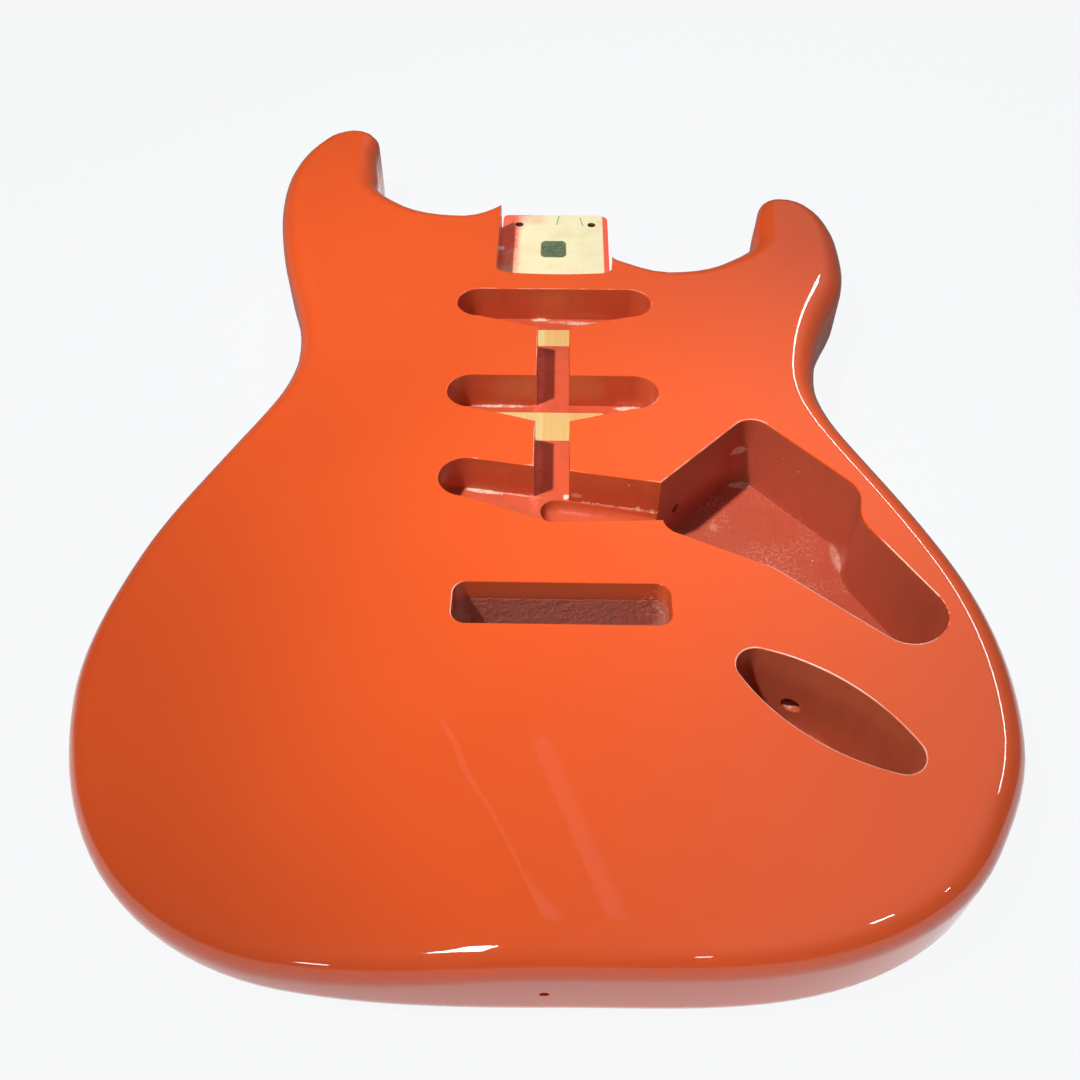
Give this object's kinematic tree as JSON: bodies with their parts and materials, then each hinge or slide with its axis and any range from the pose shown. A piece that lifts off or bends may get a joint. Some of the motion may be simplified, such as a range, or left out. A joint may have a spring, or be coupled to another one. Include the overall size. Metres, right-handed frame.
{
  "type": "electric guitar body",
  "caption": "Bare solid body of a double-cutaway electric guitar: glued boards under a glossy orange-red finish, routed for neck, pickups, controls, jack and tremolo.",
  "frame": {"origin": "on the flat back face, on the centre line, under the end wall of the neck pocket", "axes": "+X to the treble side, +Y towards the neck, +Z out of the front face"},
  "size_m": [0.3246, 0.4682, 0.0444],
  "materials": {
    "lacquered_wood": "glossy orange-red lacquer over a light hardwood, bare in the neck pocket"
  },
  "bodies": {
    "root": {"bass_wing_board": "lacquered_wood", "centre_board": "lacquered_wood", "treble_wing_board": "lacquered_wood"}
  },
  "joints": []
}
